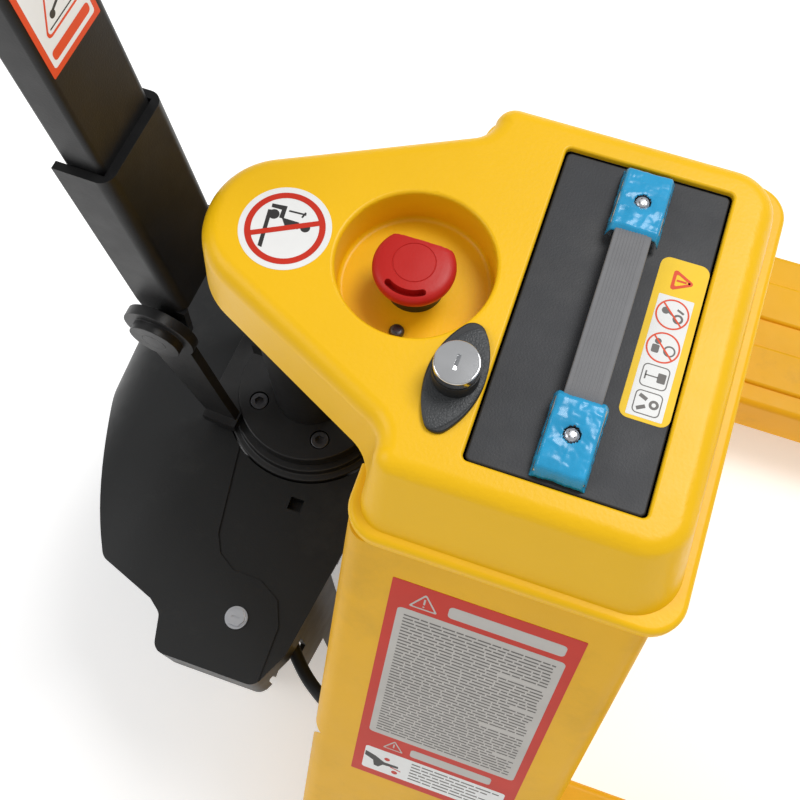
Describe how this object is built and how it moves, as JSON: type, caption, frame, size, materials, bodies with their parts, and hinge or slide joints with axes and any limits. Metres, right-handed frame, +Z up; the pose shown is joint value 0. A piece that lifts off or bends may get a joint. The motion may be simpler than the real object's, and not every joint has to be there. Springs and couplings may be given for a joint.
{
  "type": "electric pallet truck",
  "caption": "Powered pallet truck: two forks on a tapered steel box, plastic top cover with lift-out battery, steered drive wheel under a shroud, tiller with control head.",
  "frame": {"origin": "bottom centre of the whole truck, on the ground", "axes": "+X towards the fork tips, +Y towards the left fork, +Z up"},
  "size_m": [1.5934, 0.685, 1.3098],
  "materials": {
    "cover_yellow": "semi-gloss moulded skin with a faint orange peel",
    "body_yellow": "semi-gloss powder coat with light scuffs",
    "black_sheet": "satin black paint",
    "black_enamel": "satin black enamel",
    "chrome_rod": "polished",
    "hose_rubber": "matte",
    "tank_plastic": "translucent natural plastic",
    "cast_alloy": "as cast",
    "black_plastic": "fine texture",
    "dark_zinc": "dark zinc",
    "zinc": "bright zinc",
    "steel_pin": "ground",
    "shroud_black": "satin moulding",
    "tread": "matte",
    "tiller_black": "satin black powder coat",
    "head_plastic": "fine texture",
    "grip_rubber": "soft matte",
    "paddle_plastic": "satin",
    "grey_button": "satin",
    "green_button": "satin",
    "red_plastic": "semi-gloss",
    "battery_grey": "grained moulding",
    "strap_grey": "ribbed strap",
    "chrome_trim": "bright caps",
    "roller_pu": "smooth polyurethane",
    "caster_tread": "smooth"
  },
  "bodies": {
    "chassis": {"cover": "cover_yellow", "chassis_frame": "body_yellow", "fork_left": "body_yellow", "fork_right": "body_yellow", "battery_bay": "black_sheet", "nose_bracket": "black_sheet", "lift_plunger": "chrome_rod", "hydraulic_hose": "hose_rubber", "pump_motor": "black_enamel", "oil_tank": "tank_plastic", "controller": "cast_alloy", "estop_body": "black_plastic", "recess_screw": "dark_zinc", "key_switch_body": "black_plastic", "shaft_brackets": "black_sheet", "arm_pivot_pins": "steel_pin"},
    "drive_base": {"drive_base_plate": "black_enamel", "lift_cylinder": "black_enamel", "lift_beam": "black_sheet", "shroud_rear": "shroud_black", "shroud_front": "shroud_black", "shroud_screws": "zinc", "caster_mounts": "black_sheet", "drive_cable": "hose_rubber"},
    "drive_unit": {"drive_flange": "black_enamel", "flange_screws": "dark_zinc", "drive_yoke": "black_enamel", "wheel_axle": "steel_pin", "drive_motor": "cast_alloy", "motor_brake": "cast_alloy", "tiller_bracket": "black_enamel", "pivot_pin": "steel_pin"},
    "drive_wheel": {"wheel_hub": "cast_alloy", "wheel_tyre": "tread"},
    "tiller": {"tiller_tube": "tiller_black", "tiller_sleeve": "tiller_black", "control_head": "head_plastic", "handle_bow": "black_plastic", "hand_grips": "grip_rubber"},
    "throttle": {"throttle_paddles": "paddle_plastic"},
    "lift_button": {"lift_button": "grey_button"},
    "lower_button": {"lower_button": "grey_button"},
    "horn_button": {"horn_button": "green_button"},
    "reverse_button": {"reverse_button": "red_plastic"},
    "estop": {"estop_head": "red_plastic"},
    "key": {"key_barrel": "chrome_rod"},
    "battery": {"battery_case": "battery_grey", "battery_strap": "strap_grey", "strap_caps": "chrome_trim", "strap_screws": "dark_zinc"},
    "torsion_shaft": {"torsion_shaft": "black_sheet"},
    "push_rods": {"push_rods": "steel_pin"},
    "roller_arms": {"roller_arms": "black_sheet", "roller_axles": "steel_pin"},
    "load_roller_left": {"load_roller_left": "roller_pu"},
    "load_roller_right": {"load_roller_right": "roller_pu"},
    "caster_fork_left": {"caster_fork_left": "zinc"},
    "caster_fork_right": {"caster_fork_right": "zinc"},
    "caster_wheel_left": {"caster_wheel_left": "caster_tread"},
    "caster_wheel_right": {"caster_wheel_right": "caster_tread"}
  },
  "joints": [
    {"name": "lift", "type": "slide", "parent": "chassis", "child": "drive_base", "axis": [0, 0, -1], "range_m": [0, 0.115], "deforming": ["drive_cable"]},
    {"name": "steer", "type": "hinge", "parent": "drive_base", "child": "drive_unit", "pos_m": [-0.60231, 0, 0.265], "axis": [0, 0, 1], "range_deg": [-86, 94]},
    {"name": "wheel_spin", "type": "hinge", "parent": "drive_unit", "child": "drive_wheel", "pos_m": [-0.60231, 0, 0.105], "axis": [0.0698, 0.9976, 0], "continuous": true},
    {"name": "tiller_tilt", "type": "hinge", "parent": "drive_unit", "child": "tiller", "pos_m": [-0.67762, 0.00527, 0.389], "axis": [-0.0698, -0.9976, 0], "range_deg": [0, 75], "stiffness_Nm_per_rad": 45, "springref_deg": -28.65},
    {"name": "throttle_twist", "type": "hinge", "parent": "tiller", "child": "throttle", "pos_m": [-0.75337, 0.01056, 1.20749], "axis": [0.0698, 0.9976, 0], "range_deg": [-30, 30], "stiffness_Nm_per_rad": 1.2},
    {"name": "lift_press", "type": "slide", "parent": "tiller", "child": "lift_button", "axis": [-0.9933, 0.0695, -0.0924], "range_m": [0, 0.003], "stiffness_N_per_m": 900, "springref_m": -0.002},
    {"name": "lower_press", "type": "slide", "parent": "tiller", "child": "lower_button", "axis": [-0.9933, 0.0695, -0.0924], "range_m": [0, 0.003], "stiffness_N_per_m": 900, "springref_m": -0.002},
    {"name": "horn_press", "type": "slide", "parent": "tiller", "child": "horn_button", "axis": [-0.9933, 0.0695, -0.0924], "range_m": [0, 0.003], "stiffness_N_per_m": 900, "springref_m": -0.002},
    {"name": "reverse_press", "type": "slide", "parent": "tiller", "child": "reverse_button", "axis": [0.0921, -0.0064, -0.9957], "range_m": [0, 0.003], "stiffness_N_per_m": 1200, "springref_m": -0.002},
    {"name": "estop_press", "type": "slide", "parent": "chassis", "child": "estop", "axis": [0, 0, -1], "range_m": [0, 0.004]},
    {"name": "key_turn", "type": "hinge", "parent": "chassis", "child": "key", "pos_m": [-0.48471, -0.0542, 0.52], "axis": [0, 0, 1], "range_deg": [0, 90]},
    {"name": "battery_slide", "type": "slide", "parent": "chassis", "child": "battery", "axis": [0, 0, 1], "range_m": [0, 0.3]},
    {"name": "shaft_rock", "type": "hinge", "parent": "chassis", "child": "torsion_shaft", "pos_m": [-0.37931, 0, 0.08], "axis": [0, -1, 0], "range_deg": [0, 59.85]},
    {"name": "rod_push", "type": "slide", "parent": "chassis", "child": "push_rods", "axis": [1, 0, 0], "range_m": [0, 0.0207]},
    {"name": "arm_swing", "type": "hinge", "parent": "chassis", "child": "roller_arms", "pos_m": [0.50089, 0, 0.032], "axis": [0, 1, 0], "range_deg": [0, 48.6]},
    {"name": "roller_left_spin", "type": "hinge", "parent": "roller_arms", "child": "load_roller_left", "pos_m": [0.65068, 0.2625, 0.04], "axis": [0, 1, 0], "continuous": true},
    {"name": "roller_right_spin", "type": "hinge", "parent": "roller_arms", "child": "load_roller_right", "pos_m": [0.65068, -0.2625, 0.04], "axis": [0, 1, 0], "continuous": true},
    {"name": "caster_left_swivel", "type": "hinge", "parent": "drive_base", "child": "caster_fork_left", "pos_m": [-0.60231, 0.17, 0.11], "axis": [0, 0, 1], "continuous": true},
    {"name": "caster_left_spin", "type": "hinge", "parent": "caster_fork_left", "child": "caster_wheel_left", "pos_m": [-0.62231, 0.17, 0.0325], "axis": [0, 1, 0], "continuous": true},
    {"name": "caster_right_swivel", "type": "hinge", "parent": "drive_base", "child": "caster_fork_right", "pos_m": [-0.60231, -0.17, 0.11], "axis": [0, 0, 1], "continuous": true},
    {"name": "caster_right_spin", "type": "hinge", "parent": "caster_fork_right", "child": "caster_wheel_right", "pos_m": [-0.62231, -0.17, 0.0325], "axis": [0, 1, 0], "continuous": true}
  ],
  "couplings": [
    {"joint": "shaft_rock", "follows": "lift", "rad_per_m": 9.0754},
    {"joint": "rod_push", "follows": "lift", "ratio": 0.1788},
    {"joint": "arm_swing", "follows": "lift", "rad_per_m": 7.3704}
  ]
}
